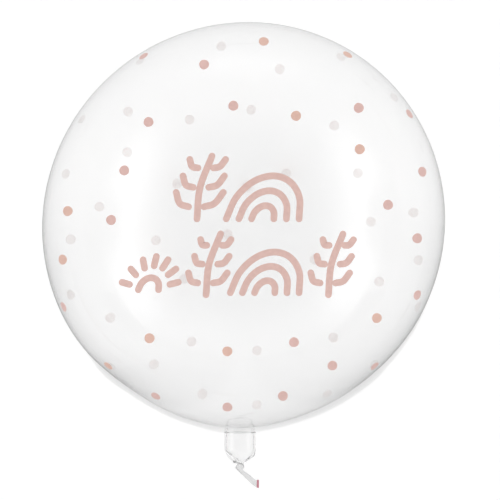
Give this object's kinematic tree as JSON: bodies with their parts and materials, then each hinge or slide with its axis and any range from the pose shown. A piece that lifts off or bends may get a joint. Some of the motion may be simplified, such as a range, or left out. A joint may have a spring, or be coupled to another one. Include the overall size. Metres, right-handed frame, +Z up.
{
  "type": "clear bubble balloon",
  "caption": "Clear round party bubble balloon with a short gathered, tied-off neck and a leaning tail, printed with rose confetti dots and rows of loose strokes.",
  "frame": {"origin": "on the floor, at the middle of the flat spot under the bubble as the balloon lies on its back", "axes": "+Z up, out of the printed side; -Y along the neck towards the tail; +X to the right of the print"},
  "size_m": [0.4, 0.4619, 0.3993],
  "materials": {
    "clear_film": "clear stretched plastic film, glossy, with rose and pale print"
  },
  "bodies": {
    "root": {"bubble_balloon": "clear_film"}
  },
  "joints": []
}
